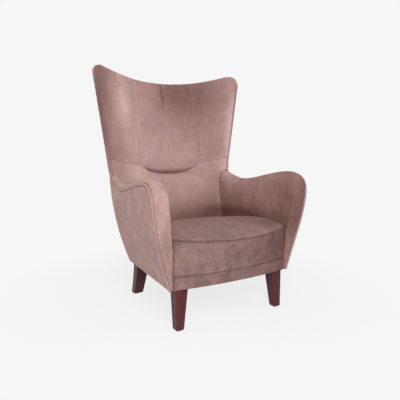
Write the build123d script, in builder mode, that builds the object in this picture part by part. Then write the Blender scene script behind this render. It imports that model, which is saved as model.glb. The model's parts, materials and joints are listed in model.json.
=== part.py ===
from build123d import *
import os
from math import cos, radians, sin, sqrt, tan

# Wing-back lounge armchair: a hardwood frame on four legs, sprung, padded and covered in velvet.
# +Z is up, the chair faces -Y, and the origin is on the floor under the middle of the chair.
# Lengths are in millimetres, angles in degrees. Pieces that come in pairs are made on the right
# (+X) and mirrored to the left.

os.makedirs("parts", exist_ok=True)

# Heights, each standing on the one below it
leg_height = 173.0
apron_height = 56.0
seat_front_height = 135.0
arm_rise = 252.0
back_rise = 485.0
lumbar_rise = 234.0
rail_height = 112.0

# Widths: the seat between the arms, and how far the rest stands outside it on each side
seat_width = 566.0
arm_foot = 15.0
arm_spread = 103.0
wing_inset = 16.0
wing_flare = 68.0
top_shoulder = 53.0

# Depths, from the front of the base to the rear
base_front = -327.0
arm_lean = 27.0
seat_depth = 499.0
corner_setback = 6.0
wing_setback = 37.0
back_foot_depth = 46.0
back_rake = 11.9

# Outer skin
panel = 6.0
side_taper = 35.0
rear_crown = 15.0
corner_aspect = 0.75
seam_slant = 0.75
seam_flare_height = 130.0

# Back pads
back_thickness = 75.0
back_pad = 28.0
wing_edge = 32.0
wing_pad = 10.0
back_dip = 50.0
top_corner_radius = 40.0
top_corner_inset = 12.8
top_corner_drop = 11.2
wrap_top = 20.0
wrap_edge = 14.0
hollow_dip = 30.0
pad_tuck = 14.0
pad_bulge = 7.0
tuck_height = 75.0
bulge_height = 265.0
lumbar_seam_rise = 68.0
lumbar_seam_bend = 31.0
lumbar_bulge = 10.0
lumbar_side_depth = 20.0
lumbar_side_lean = 6.0
lumbar_blend = 1.3
panel_seam_x = 168.0
panel_seam_radius = 5.0
panel_seam_depth = 2.5

# Arm pads
arm_pad = 22.0
arm_top_pad = 36.0
arm_lean_in = 27.0
arm_roll = 48.0
roll_rise = 16.0
roll_inner_pull = 0.15
roll_outer_pull = 0.70
arm_front_radius = 78.0
arm_front_drop = 106.0
arm_front_straight = 57.0
arm_crest_setback = 45.0
arm_crest_rise = 2.0
crest_length = 45.0
crest_depth = 80.0
arm_low_setback = 94.0
arm_crown_fall = 60.0
arm_crown_rise = 36.0
welt_drop = 24.0
welt_sag = 50.0
welt_rise = 36.0
welt_low_setback = 149.0
welt_turn = 20.0
wing_foot = 18.0

# Seat
seat_crown = 36.0
seat_rear_drop = 20.0
seat_seam_rise = 12.0
seat_bow = 68.7
seat_bow_low = 36.0
apron_bow = 20.0
seat_side_drop = 16.0
seat_corner_drop = 1.0

seat_setback = 3.0

# Welts
welt_radius = 4.5
seat_welt_radius = 3.5
cord_bend = 0.45

# Frame
rail_setback = 8.0
rail_overhang = 3.0
rail_side_gap = 4.0
frame_gap = 2.0
rail_thickness = 22.0
front_rail_thickness = 18.0
board = 12.0
post_width = 25.0
post_depth = 22.0
back_post_inset = 96.0
back_rail_height = 50.0
back_rail_thickness = 16.0
arm_rail_thickness = 18.0
arm_rail_tail = 8.0
arm_rail_depth = 40.0
arm_post_shoulder = 12.0
wing_board_foot = 96.0
back_post_drop = 10.0
low_rail_rise = 70.0
middle_rail_rise = 12.0
block_leg = 70.0
block_height = 60.0
clearance = 0.3
overcut = 4.0

# Springs, webbing and platform
spring_count = 5
spring_wire = 3.8
spring_width = 50.0
spring_pitch = 27.0
spring_margin = 99.0
clip_length = 14.0
clip_width = 20.0
clip_height = 6.4
platform = 3.0
strap_width = 50.0
strap_thickness = 1.2
strap_spacing = 95.0
strap_end = 5.0
spring_bend = 0.45
dust_cover_thickness = 1.5

# Legs and fasteners
front_leg_top = 52.0
front_leg_foot = 33.0
front_leg_inset = 30.0
front_leg_setback = 3.5
front_bolt_place = 0.72
rear_leg_top = 48.0
rear_leg_width = 60.0
rear_leg_foot_width = 46.0
rear_leg_foot = 34.0
rear_leg_inset = 18.0
rear_leg_setback = 12.0
rear_leg_rake = 40.0
rear_leg_middle = 39.0
rear_leg_kick = 0.36
leg_chamfer = 3.0
glide_height = 3.0
glide_radius = 11.0
glide_round = 1.0
bolt_radius = 4.0
bolt_depth = 45.0
bolt_rise = 14.0
nut_radius = 7.5
nut_height = 6.5

# Levels and faces worked out from the sizes above
seat_half = seat_width / 2
base_half = seat_half + arm_foot
arm_half = seat_half + arm_spread
wing_root = arm_half - side_taper - wing_inset
apron_top = leg_height + apron_height
seat_height = apron_top + seat_front_height
arm_height = seat_height + arm_rise
back_height = arm_height + back_rise
lumbar_seam_height = seat_height + lumbar_rise
seat_line = base_front - seat_setback
seat_rear_y = seat_line + seat_depth
corner_y = seat_rear_y - corner_setback
wing_y = seat_rear_y + wing_setback
back_foot_y = seat_rear_y + back_foot_depth
arm_front_bend = arm_height - arm_front_drop
arm_front_foot = leg_height + arm_front_straight
arm_crest_y = base_front + arm_crest_setback
arm_low_y = seat_rear_y - arm_low_setback
welt_low_y = seat_rear_y - welt_low_setback
post_x = seat_half - back_post_inset
rail_top = leg_height + rail_height
deck = rail_top + clip_height + platform + 2 * clearance
rail_front_y = base_front + rail_setback
rail_rear_y = seat_rear_y + rail_overhang
rail_front_x = seat_half + 3 * clearance
rail_rear_x = base_half - side_taper - panel - rail_side_gap
front_leg_x = base_half - front_leg_inset
front_leg_y = base_front + front_leg_setback
rear_leg_x = base_half - side_taper - rear_leg_inset
rear_leg_rear = rail_rear_y - rear_leg_setback
seam_ends = lumbar_seam_height + lumbar_seam_rise
reach = 500.0


def mix(a, b, t):
    return a + (b - a) * t


def smooth(t):
    t = min(max(t, 0.0), 1.0)
    return t * t * (3 - 2 * t)


def flare(z):
    """Half width of the outside at the front edge of the arm."""
    rise = min(max((z - leg_height) / (arm_height - leg_height), 0.0), 1.0)
    return mix(base_half, arm_half, 1 - (1 - rise) ** 2)


def side_x(y, z):
    """Half width of the outside where the arm runs back to the rear corner."""
    return flare(z) - side_taper * (y - base_front) / (corner_y - base_front)


def rail_x(y):
    """Outer face of the side rail, which follows the taper of the base."""
    return mix(rail_front_x, rail_rear_x, (y - rail_front_y) / (rail_rear_y - rail_front_y))


def wing_half(z):
    """Half width at the front edge of the wings."""
    return wing_root + wing_flare * (z - arm_height) / back_rise


def back_outer(z):
    return back_foot_y + (z - leg_height) * tan(radians(back_rake))


def back_inner(z):
    return back_outer(z) - back_thickness


def rear_seam(z):
    """Where the outside arm panel meets the outside back: round the corner, then out to the wing."""
    low_y = back_outer(z) - rear_crown
    low_x = side_x(corner_y, z) - (low_y - corner_y) * corner_aspect
    turn = smooth((z - arm_height + seam_flare_height) / seam_flare_height)
    return mix(low_x, wing_half(z), turn), mix(low_y, wing_y + wing_edge, turn)


def edge_back(z):
    """Rear of the pad at the sides, drawn forward below the wings."""
    low = (z - deck) / (arm_height - seam_flare_height - deck)
    return mix(seat_rear_y + lumbar_side_depth, wing_y + wing_pad, min(max(low, 0.0), 1.0))


def arc_y(x, half, edge, middle):
    """Height of a circular arc through (+-half, edge) and (0, middle)."""
    rise = middle - edge
    radius = (half * half + rise * rise) / (2 * rise)
    root = sqrt(radius * radius - x * x)
    return middle - radius + (root if radius > 0 else -root)


def pad_rear(z):
    return wing_half(z), edge_back(z), back_inner(z) + back_pad


def skin_inner(z, gap=0.0):
    x, y = rear_seam(z)
    inset = (panel + gap) * seam_slant
    return x - inset, y - inset, back_outer(z) - panel - gap


def save(piece, name):
    piece.part.label = name
    export_step(piece.part, f"parts/{name}.step")


def mirrored(piece):
    with BuildPart() as twin:
        mirror(piece.part, about=Plane.YZ)
    return twin


def band(z, front, rear):
    """A closed strip at height z between two arcs, each (half width, edge y, middle y)."""
    with BuildSketch(Plane.XY.offset(z)) as strip:
        with BuildLine():
            near = ThreePointArc((-front[0], front[1]), (0, front[2]), (front[0], front[1]))
            far = ThreePointArc((-rear[0], rear[1]), (0, rear[2]), (rear[0], rear[1]))
            Line(near @ 0, far @ 0)
            Line(near @ 1, far @ 1)
        make_face()
    return strip.sketch


def soft_radii(points):
    """The largest fillet at each corner that its two runs leave room for."""
    radii = []
    for before, corner, after in zip(points, points[1:], points[2:]):
        into = Vector(corner) - Vector(before)
        out = Vector(after) - Vector(corner)
        half_turn = radians(into.get_angle(out)) / 2
        radii.append(cord_bend * min(into.length, out.length) / tan(half_turn))
    return radii


def tube(points, radius):
    """A round cord along straight runs joined by tangent arcs."""
    with BuildPart() as cord:
        with BuildLine() as path:
            FilletPolyline(*points, radius=soft_radii(points))
        start = Plane(origin=path.line @ 0, z_dir=path.line % 0)
        with BuildSketch(start):
            Circle(radius)
        sweep()
    return cord


# Shared outlines

def arm_crown(y):
    """Top of the arm roll: level at the crest, dipping, then rising to the wing."""
    fall = arm_crown_fall * smooth((y - arm_crest_y) / (arm_low_y - arm_crest_y))
    rise = arm_crown_rise * smooth((y - arm_low_y) / (wing_y + wing_edge - arm_low_y))
    return arm_height - fall + rise


def arm_welt(y):
    """Outer edge of the arm roll, where the welt runs: it sags more and climbs to the wing edge."""
    crest = arm_height - welt_drop
    fall = welt_sag * smooth((y - arm_crest_y) / (welt_low_y - arm_crest_y))
    rise = welt_rise * smooth((y - welt_low_y) / (wing_y + wing_edge - welt_low_y))
    return crest - fall + rise


def arm_inner_x(y):
    """Inner face of the arm at its roll: it leans out at the front and stands upright at the back."""
    return seat_half + clearance + arm_lean_in * (1 - smooth((y - base_front) / (wing_y - base_front)))


def arm_section(y, inset, top_inset):
    """Upright section of the arm across the chair, inset for the hollow inside it."""
    crown = arm_crown(y) - top_inset
    welt = arm_welt(y) - top_inset
    foot = (seat_half + clearance + inset, leg_height - inset)
    knee = (foot[0], deck)
    top = (arm_inner_x(y) + inset, crown - arm_roll)
    outer = (side_x(y, welt) + inset, welt)
    with BuildSketch(Plane.XZ.offset(-y)) as section:
        with BuildLine():
            Polyline(outer, (outer[0], foot[1]), foot, knee, top)
            inner_pull = (mix(top[0], outer[0], roll_inner_pull), crown + roll_rise)
            outer_pull = (mix(top[0], outer[0], roll_outer_pull), crown + roll_rise)
            Bezier(top, inner_pull, outer_pull, outer)
        make_face()
    return section.sketch


arm_steps = 10
arm_start = base_front - arm_lean - overcut
arm_stations = [mix(arm_start, wing_y + wing_edge, step / arm_steps) for step in range(arm_steps + 1)]


def skin_x(y, z):
    """Half width of the outside at any depth, also round the rear corner."""
    if y <= corner_y:
        return side_x(y, z)
    seam_x, seam_y = rear_seam(z)
    start = Vector(side_x(corner_y, z), corner_y)
    chord = Vector(seam_x, seam_y) - start
    inward = Vector(base_front - corner_y, -side_taper).normalized()
    radius = chord.length ** 2 / (2 * chord.dot(inward))
    centre = start + inward * radius
    return centre.X + sqrt(max(radius ** 2 - (y - centre.Y) ** 2, 0.0))


def side_outline(z, inset):
    """Plan line of the outside from the arm front round the rear corner to the seam."""
    seam_x, seam_y = rear_seam(z)
    front = (side_x(-reach, z) - inset, -reach)
    corner = (side_x(corner_y, z) - inset, corner_y)
    seam = (seam_x - inset * seam_slant, seam_y - inset * seam_slant)
    run = Line(front, corner)
    TangentArc(corner, seam, tangent=run % 1)
    return front, seam


skin_steps = 8
skin_levels = [mix(leg_height, arm_height, step / skin_steps) for step in range(skin_steps + 1)]
skin_levels += [(arm_height + seam_ends) / 2, seam_ends + overcut]


def skin_section(z):
    with BuildSketch(Plane.XY.offset(z)) as section:
        with BuildLine():
            front, seam = side_outline(z, 0.0)
            inner_front, inner_seam = side_outline(z, panel)
            Line(front, inner_front)
            Line(seam, inner_seam)
        make_face()
    return section.sketch


def within_skin(z):
    """Plan region of the right half inside the outer panels."""
    with BuildSketch(Plane.XY.offset(z)) as section:
        with BuildLine():
            front, seam = side_outline(z, panel + clearance)
            Polyline(seam, (0, seam[1]), (0, -reach), front)
        make_face()
    return section.sketch


def arm_front(z):
    """Front line of the arm: upright at the foot, leaning out above it."""
    return base_front - arm_lean * smooth((z - arm_front_foot) / (arm_front_bend - arm_front_foot))


# Side view of the arm: the leaning front, rounded over at the crest.
arm_front_y = base_front - arm_lean
arm_crest_z = arm_height + arm_crest_rise
front_steps = 5
front_heights = [mix(leg_height, arm_front_bend, step / front_steps) for step in range(front_steps + 1)]
front_line = [(arm_front(z), z) for z in front_heights]
with BuildSketch(Plane.YZ) as arm_side:
    with BuildLine():
        lean = Spline(*front_line, (arm_front_y, arm_crest_z - arm_front_radius))
        bend = TangentArc(lean @ 1, (arm_front_y + arm_front_radius, arm_crest_z), tangent=(0, 1))
        Polyline(bend @ 1, (reach, arm_crest_z), (reach, leg_height), lean @ 0)
    make_face()

# Side view below the welt: the outline of the outside arm panel.
front_welt = [(y + welt_radius / 2, z) for y, z in front_line]
welt_crest = []
for turn in (30, 60, 90):
    crest_y = arm_front_y + crest_length * (1 - cos(radians(turn)))
    crest_z = arm_height - welt_drop - crest_depth * (1 - sin(radians(turn)))
    welt_crest.append((crest_y, crest_z))
welt_line = [(y, arm_welt(y)) for y in arm_stations[2:] if y < wing_y - welt_turn]
wing_foot_z = arm_welt(wing_y) + wing_foot
with BuildSketch(Plane.YZ) as panel_side:
    with BuildLine():
        rim = Spline(*front_welt, *welt_crest, *welt_line, (wing_y, wing_foot_z))
        panel_top = seam_ends - frame_gap
        Polyline(rim @ 1, (wing_y, panel_top), (reach, panel_top), (reach, leg_height), rim @ 0)
    make_face()

def lumbar_seam(gap):
    """Points of the seam between the back pads: lowest in the middle, rising to the wings."""
    ends = wing_half(seam_ends)
    bend_z = lumbar_seam_height + lumbar_seam_bend - gap
    return [
        (-ends, seam_ends - gap),
        (-panel_seam_x, bend_z),
        (0, lumbar_seam_height - gap),
        (panel_seam_x, bend_z),
        (ends, seam_ends - gap),
    ]


# Front view of the back: the dipped top edge, the rounded corners and the curved lumbar seam.
with BuildSketch(Plane.XZ) as upper_view:
    with BuildLine():
        top_half = wing_half(back_height) - top_shoulder
        top = Spline((-top_half, back_height), (0, back_height - back_dip), (top_half, back_height))
        tip = wing_half(back_height)
        root = wing_half(seam_ends)
        Spline(*lumbar_seam(0.0))
        for side in (-1, 1):
            shoulder = (side * wing_half(back_height - top_corner_radius), back_height - top_corner_radius)
            Line((side * root, seam_ends), shoulder)
            ThreePointArc(
                shoulder,
                (side * (tip - top_corner_inset), back_height - top_corner_drop),
                (side * top_half, back_height),
            )
    make_face()

# Long welts: from the base up the arm front, along the arm and up the wing edge
wing_top_z = back_height - top_corner_radius
front_edge = [(flare(z) - welt_radius / 2, y, z) for y, z in front_welt]
crest_edge = [(flare(z) - welt_radius / 2, y, z) for y, z in welt_crest]
arm_edge = [(skin_x(y, z) - welt_radius / 2, y, z) for y, z in welt_line]
wing_edge_line = [(wing_half(z), wing_y + welt_radius / 2, z) for z in (wing_foot_z, wing_top_z)]
right_long_welt = tube(front_edge + crest_edge + arm_edge + wing_edge_line, welt_radius)
left_long_welt = mirrored(right_long_welt)

# Upper back pad
upper_steps = 8
upper_low = lumbar_seam_height - 2 * overcut
upper_high = back_height + 5 * overcut
upper_levels = [mix(upper_low, upper_high, step / upper_steps) for step in range(upper_steps + 1)]


def upper_front(z):
    """Front of the upper pad: drawn in at the lumbar seam and full just above it."""
    opened = smooth((z - upper_low) / tuck_height)
    flattened = smooth((z - upper_low) / bulge_height)
    tuck = pad_tuck * (1 - opened) - pad_bulge * opened * (1 - flattened)
    return wing_half(z), wing_y, back_inner(z) + tuck


with BuildPart() as back_hollow:
    loft([band(z, pad_rear(z), skin_inner(z, -panel)) for z in upper_levels], ruled=True)
    with BuildSketch(Plane.XZ.offset(-reach)):
        with BuildLine():
            low = lumbar_seam_height - 5 * overcut
            high = back_height - back_dip - wrap_top
            rim_z = high + hollow_dip
            edge_low = wing_half(low) - wrap_edge
            edge_high = wing_half(rim_z) - wrap_edge
            Spline((-edge_high, rim_z), (0, high), (edge_high, rim_z))
            Polyline((-edge_high, rim_z), (-edge_low, low), (edge_low, low), (edge_high, rim_z))
        make_face()
    extrude(amount=2 * reach, mode=Mode.INTERSECT)


def seam_cutter(x):
    """A straight round cutter along one upright seam of the upper pad."""
    ends = []
    for z in (lumbar_seam_height, back_height):
        half, edge, middle = wing_half(z), wing_y, back_inner(z)
        ends.append(Vector(x, arc_y(x, half, edge, middle) - panel_seam_radius + panel_seam_depth, z))
    with BuildPart() as cutter:
        with BuildSketch(Plane(origin=ends[0], z_dir=ends[1] - ends[0])):
            Circle(panel_seam_radius)
        extrude(amount=(ends[1] - ends[0]).length)
    return cutter.part


with BuildPart() as upper_back_pad:
    loft([band(z, upper_front(z), skin_inner(z, clearance)) for z in upper_levels], ruled=True)
    extrude(upper_view.sketch, amount=reach, both=True, mode=Mode.INTERSECT)
    add(back_hollow.part, mode=Mode.SUBTRACT)
    for seam_x in (-panel_seam_x, 0.0, panel_seam_x):
        add(seam_cutter(seam_x), mode=Mode.SUBTRACT)
    add([right_long_welt.part, left_long_welt.part], mode=Mode.SUBTRACT)

# Outside back panel
back_levels = skin_levels[:-1] + [(arm_height + back_height) / 2, upper_high]


def skin_outer(z):
    x, y = rear_seam(z)
    return x, y, back_outer(z)


with BuildPart() as outer_back_panel:
    loft([band(z, skin_inner(z), skin_outer(z)) for z in back_levels], ruled=True)
    with BuildSketch(Plane.XZ):
        add(upper_view.sketch_local)
        with Locations((0, (seam_ends + leg_height) / 2)):
            Rectangle(2 * wing_half(seam_ends), seam_ends - leg_height)
    extrude(amount=reach, both=True, mode=Mode.INTERSECT)

# Outside arm panels
with BuildPart() as right_outer_arm_panel:
    loft([skin_section(z) for z in skin_levels], ruled=True)
    extrude(panel_side.sketch, amount=reach, mode=Mode.INTERSECT)
    add(right_long_welt.part, mode=Mode.SUBTRACT)
left_outer_arm_panel = mirrored(right_outer_arm_panel)

# Arm pads
with BuildPart() as arm_form:
    loft([arm_section(y, 0.0, 0.0) for y in arm_stations])
    extrude(arm_side.sketch, amount=reach, mode=Mode.INTERSECT)

with BuildPart() as arm_hollow:
    loft([arm_section(y, arm_pad, arm_top_pad) for y in arm_stations])
    with Locations((0, rail_front_y, 0)):
        Box(2 * reach, reach, 4 * reach, align=(Align.CENTER, Align.MAX, Align.CENTER), mode=Mode.SUBTRACT)

with BuildPart() as skin_body:
    loft([within_skin(z) for z in skin_levels], ruled=True)

with BuildPart() as right_arm_pad:
    add(arm_form.part)
    add(skin_body.part, mode=Mode.INTERSECT)
    add(arm_hollow.part, mode=Mode.SUBTRACT)
    with Locations((0, rail_front_y, deck)):
        Box(2 * reach, 2 * reach, reach, align=(Align.CENTER, Align.MIN, Align.MAX), mode=Mode.SUBTRACT)
    with Locations((0, wing_y + wing_pad, 0)):
        Box(2 * reach, reach, 4 * reach, align=(Align.CENTER, Align.MIN, Align.CENTER), mode=Mode.SUBTRACT)
    add(right_long_welt.part, mode=Mode.SUBTRACT)
left_arm_pad = mirrored(right_arm_pad)

# Lumbar pad
lumbar_steps = 7
lumbar_levels = [mix(deck, seam_ends + overcut, step / lumbar_steps) for step in range(lumbar_steps + 1)]


def lumbar_front(z):
    """Front of the lumbar pad: upright at the seat, full in the middle, flush with the wings at the top."""
    up = (z - deck) / (lumbar_seam_height - deck)
    seam_y = back_inner(lumbar_seam_height) + clearance
    swell = lumbar_bulge * max(4 * up * (1 - up), 0.0)
    middle = mix(seat_rear_y + clearance, seam_y, up) - swell
    side_y = mix(seat_rear_y + lumbar_side_lean, wing_y, smooth(lumbar_blend * up))
    return wing_half(z) - panel, side_y, middle


def lumbar_rear(z):
    half = wing_half(z) - panel
    return half, arc_y(half, *pad_rear(z)), back_inner(z) + back_pad


with BuildPart() as lumbar_pad:
    loft([band(z, lumbar_front(z), lumbar_rear(z)) for z in lumbar_levels], ruled=True)
    with BuildSketch(Plane.XZ):
        with BuildLine():
            under = Spline(*lumbar_seam(clearance))
            Polyline(under @ 1, (wing_half(seam_ends), deck), (-wing_half(seam_ends), deck), under @ 0)
        make_face()
    extrude(amount=reach, both=True, mode=Mode.INTERSECT)
    add(arm_form.part, mode=Mode.SUBTRACT)
    add(mirrored(arm_form).part, mode=Mode.SUBTRACT)
    add([right_long_welt.part, left_long_welt.part], mode=Mode.SUBTRACT)

# Seat: a crowned tight cushion with a bowed front, over a front panel that hangs to the apron
nose_y = seat_line - seat_bow


def seat_bow_at(z):
    return mix(seat_bow_low, seat_bow, (z - apron_top) / (seat_height - apron_top))


def seat_plan(z, bow, front, rear):
    """Plan of the seat at height z: straight sides and back, bowed front."""
    with BuildSketch(Plane.XY.offset(z)) as plan:
        with BuildLine():
            nose = ThreePointArc((-seat_half, front), (0, front - bow), (seat_half, front))
            Polyline(nose @ 1, (seat_half, rear), (-seat_half, rear), nose @ 0)
        make_face()
    return plan.sketch


def seam_z(x):
    """Front seam of the seat: lowest at the nose, rising to the arms."""
    return arc_y(x, seat_half, seat_height + seat_seam_rise, seat_height)


def seat_top(y):
    """Height of the seat along its middle: up from the front seam, then falling to the back."""
    back = (y - nose_y) / (seat_rear_y - nose_y)
    return seat_height + seat_welt_radius + seat_crown * 4 * back * (1 - back) - seat_rear_drop * back


def crown_section(y):
    """Section across the seat: almost level at the front corners, crowned behind them."""
    top_z = seat_top(y)
    back = smooth((y - seat_line) / (seat_rear_y - seat_line))
    edge_z = top_z - mix(seat_corner_drop, seat_side_drop, back)
    arch_half = seat_half + overcut
    with BuildSketch(Plane.XZ.offset(-y)) as section:
        with BuildLine():
            arch = ThreePointArc((-arch_half, edge_z), (0, top_z), (arch_half, edge_z))
            Polyline(arch @ 1, (arch_half, leg_height), (-arch_half, leg_height), arch @ 0)
        make_face()
    return section.sketch


seat_steps = 6
seat_stations = [mix(nose_y - overcut, seat_rear_y, step / seat_steps) for step in range(seat_steps + 1)]
with BuildPart() as seat_arch:
    loft([crown_section(y) for y in seat_stations])

with BuildPart() as seat_form:
    seat_levels = (apron_top + clearance, seat_height, seat_height + 2 * seat_crown)
    loft([seat_plan(z, seat_bow_at(z), seat_line, seat_rear_y) for z in seat_levels], ruled=True)
    add(seat_arch.part, mode=Mode.INTERSECT)


def seat_front_y(x, z):
    """Bowed front of the seat."""
    return arc_y(x, seat_half, seat_line, seat_line - seat_bow_at(z))


seat_welt_runs = 12
seat_welt_line = []
for step in range(seat_welt_runs + 1):
    welt_x = mix(-1, 1, step / seat_welt_runs) * (seat_half - clearance)
    welt_z = seam_z(welt_x)
    seat_welt_line.append((welt_x, seat_front_y(welt_x, welt_z) + seat_welt_radius / 2, welt_z))
seat_welt = tube(seat_welt_line, seat_welt_radius)

with BuildPart() as below_seat_seam:
    with BuildSketch(Plane.XZ.offset(clearance - rail_front_y)):
        with BuildLine():
            seam_end_z = seam_z(seat_half)
            seam = ThreePointArc((-seat_half, seam_end_z), (0, seam_z(0)), (seat_half, seam_end_z))
            Polyline(seam @ 1, (seat_half, 0), (-seat_half, 0), seam @ 0)
        make_face()
    extrude(amount=reach)

with BuildPart() as seat_cushion:
    add(seat_form.part)
    add(below_seat_seam.part, mode=Mode.SUBTRACT)
    with Locations((0, 0, deck)):
        Box(2 * reach, 2 * reach, reach, align=(Align.CENTER, Align.CENTER, Align.MAX), mode=Mode.SUBTRACT)
    add(seat_welt.part, mode=Mode.SUBTRACT)

with BuildPart() as seat_front_panel:
    add(seat_form.part)
    add(below_seat_seam.part, mode=Mode.INTERSECT)
    add(seat_welt.part, mode=Mode.SUBTRACT)

with BuildPart() as front_apron:
    apron_sections = ((leg_height, apron_bow), (apron_top, seat_bow_low))
    apron_rear = rail_front_y - clearance
    loft([seat_plan(z, bow, seat_line, apron_rear) for z, bow in apron_sections], ruled=True)

# Base rails: the side rails follow the taper, the front and rear rails stand between them
rail_inner_front_y = rail_front_y + front_rail_thickness
rail_inner_rear_y = rail_rear_y - rail_thickness

with BuildPart() as right_side_rail:
    with BuildSketch(Plane.XY.offset(leg_height)):
        with BuildLine():
            Polyline(
                (rail_x(rail_front_y), rail_front_y),
                (rail_x(rail_rear_y), rail_rear_y),
                (rail_x(rail_rear_y) - rail_thickness, rail_rear_y),
                (rail_x(rail_front_y) - rail_thickness, rail_front_y),
                close=True,
            )
        make_face()
    extrude(amount=rail_height)
left_side_rail = mirrored(right_side_rail)


def cross_rail(near, far):
    """A rail between the side rails, with its ends cut to their taper."""
    inner_near = rail_x(near) - rail_thickness
    inner_far = rail_x(far) - rail_thickness
    with BuildPart() as rail:
        with BuildSketch(Plane.XY.offset(leg_height)):
            with BuildLine():
                Polyline(
                    (-inner_near, near),
                    (inner_near, near),
                    (inner_far, far),
                    (-inner_far, far),
                    close=True,
                )
            make_face()
        extrude(amount=rail_height)
    return rail


front_rail = cross_rail(rail_front_y, rail_inner_front_y)
rear_rail = cross_rail(rail_inner_rear_y, rail_rear_y)

# Bolt places, one for each leg, through the corner blocks
front_bolt = (front_leg_x - front_leg_top / 2, front_leg_y + front_leg_top * front_bolt_place)
rear_bolt = (rear_leg_x - rear_leg_width / 2, rear_leg_rear - rear_leg_top / 2)
bolt_places = []
for bolt_x, bolt_y in (front_bolt, rear_bolt):
    bolt_places += [(bolt_x, bolt_y), (-bolt_x, bolt_y)]
block_top = leg_height + block_height

with BuildPart() as corner_blocks:
    for corner, inward in ((rail_inner_front_y, 1), (rail_inner_rear_y, -1)):
        far = corner + inward * block_leg
        for side in (-1, 1):
            corner_x = side * (rail_x(corner) - rail_thickness)
            with BuildSketch(Plane.XY.offset(leg_height)):
                with BuildLine():
                    Polyline(
                        (corner_x, corner),
                        (side * (rail_x(far) - rail_thickness), far),
                        (corner_x - side * block_leg, corner),
                        close=True,
                    )
                make_face()
            extrude(amount=block_height)
    with Locations(*[(x, y, block_top) for x, y in bolt_places]):
        Hole(radius=bolt_radius + clearance, depth=block_height)

# Arm frame: a shaped front post and a rail that follows the arm line back to the wing board
post_rear_y = rail_front_y + rail_thickness
post_foot_z = leg_height + frame_gap
post_steps = 4
post_head_z = arm_welt(arm_crest_y) - arm_top_pad
post_heights = [mix(post_foot_z, post_head_z, step / post_steps) for step in range(post_steps + 1)]
hollow_top = (arm_inner_x(rail_front_y) + arm_pad, arm_crown(rail_front_y) - arm_top_pad - arm_roll)

with BuildPart() as right_arm_post:
    with BuildSketch(Plane.XZ.offset(-post_rear_y)):
        with BuildLine():
            outer_edge = Spline(*[(side_x(post_rear_y, z) - panel - frame_gap, z) for z in post_heights])
            Polyline(
                outer_edge @ 1,
                (hollow_top[0] + arm_post_shoulder, post_head_z),
                (hollow_top[0] + frame_gap, hollow_top[1]),
                (seat_half + arm_pad + frame_gap, deck + frame_gap),
                (seat_half + arm_pad + frame_gap, rail_top),
                (rail_x(rail_front_y) + clearance, rail_top),
                (rail_x(rail_front_y) + clearance, post_foot_z),
                outer_edge @ 0,
            )
        make_face()
    extrude(amount=rail_thickness - clearance)
left_arm_post = mirrored(right_arm_post)

board_low = arm_height - wing_board_foot
board_high = back_height - back_dip - wrap_top - frame_gap
arm_rail_rear_y = wing_y + wing_pad + clearance


def arm_rail_section(y):
    back = (y - post_rear_y) / (arm_rail_rear_y - post_rear_y)
    thickness = mix(arm_rail_thickness, arm_rail_tail, back)
    near = arm_inner_x(y) + arm_pad + frame_gap
    top_z = arm_crown(y) - arm_top_pad - arm_roll
    with BuildSketch(Plane.XZ.offset(-y)) as section:
        with Locations((near, top_z)):
            Rectangle(thickness, arm_rail_depth, align=(Align.MIN, Align.MAX))
    return section.sketch


with BuildPart() as right_arm_rail:
    first = post_rear_y + clearance
    rail_stations = [mix(first, arm_rail_rear_y, step / arm_steps) for step in range(arm_steps + 1)]
    loft([arm_rail_section(y) for y in rail_stations], ruled=True)
left_arm_rail = mirrored(right_arm_rail)

# Back frame: raked posts behind the rear rail, curved rails between them, curved wing boards outside
post_top_z = board_high - back_post_drop


def between_pad_and_skin(x, z):
    return (arc_y(x, *pad_rear(z)) + arc_y(x, *skin_inner(z))) / 2


with BuildPart() as right_back_post:
    foot_y = rail_rear_y + clearance + post_depth / 2
    head_y = between_pad_and_skin(post_x, post_top_z)
    with BuildSketch(Plane.YZ.offset(post_x - post_width / 2)):
        with BuildLine():
            Polyline(
                (foot_y - post_depth / 2, post_foot_z),
                (foot_y + post_depth / 2, post_foot_z),
                (head_y + post_depth / 2, post_top_z),
                (head_y - post_depth / 2, post_top_z),
                close=True,
            )
        make_face()
    extrude(amount=post_width)
left_back_post = mirrored(right_back_post)

rail_half = post_x - post_width / 2 - clearance


def back_rail_band(z):
    """Strip for a curved back rail, just behind the webbing."""
    gap = strap_thickness + 3 * clearance
    half, edge, middle = pad_rear(z)
    edge_y = arc_y(rail_half, half, edge, middle) + gap
    front = (rail_half, edge_y, middle + gap)
    rear = (rail_half, edge_y + back_rail_thickness, middle + gap + back_rail_thickness)
    return band(z, front, rear)


def back_rail(z):
    with BuildPart() as rail:
        loft([back_rail_band(z), back_rail_band(z + back_rail_height)], ruled=True)
    return rail


low_rail_z = deck + low_rail_rise
middle_rail_z = lumbar_seam_height + middle_rail_rise
top_rail_z = board_high - back_rail_height
lower_back_rail = back_rail(low_rail_z)
middle_back_rail = back_rail(middle_rail_z)
top_back_rail = back_rail(top_rail_z)


def wing_board_section(z, wrap):
    near = post_x + post_width / 2 + clearance
    far = wing_half(z) - wrap
    centre = (near + far) / 2
    arc = pad_rear(z)
    with BuildSketch(Plane.XY.offset(z)) as section:
        with BuildLine():
            front = ThreePointArc(*[(x, arc_y(x, *arc) + clearance) for x in (near, centre, far)])
            rear = ThreePointArc(*[(x, arc_y(x, *arc) + clearance + board) for x in (near, centre, far)])
            Line(front @ 0, rear @ 0)
            Line(front @ 1, rear @ 1)
        make_face()
    return section.sketch


with BuildPart() as right_wing_board:
    edge = wrap_edge + frame_gap
    board_rows = [(board_low, panel + 2 * frame_gap)]
    board_rows += [(z, edge) for z in (arm_height, (arm_height + board_high) / 2, board_high)]
    loft([wing_board_section(z, wrap) for z, wrap in board_rows], ruled=True)
left_wing_board = mirrored(right_wing_board)

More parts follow.
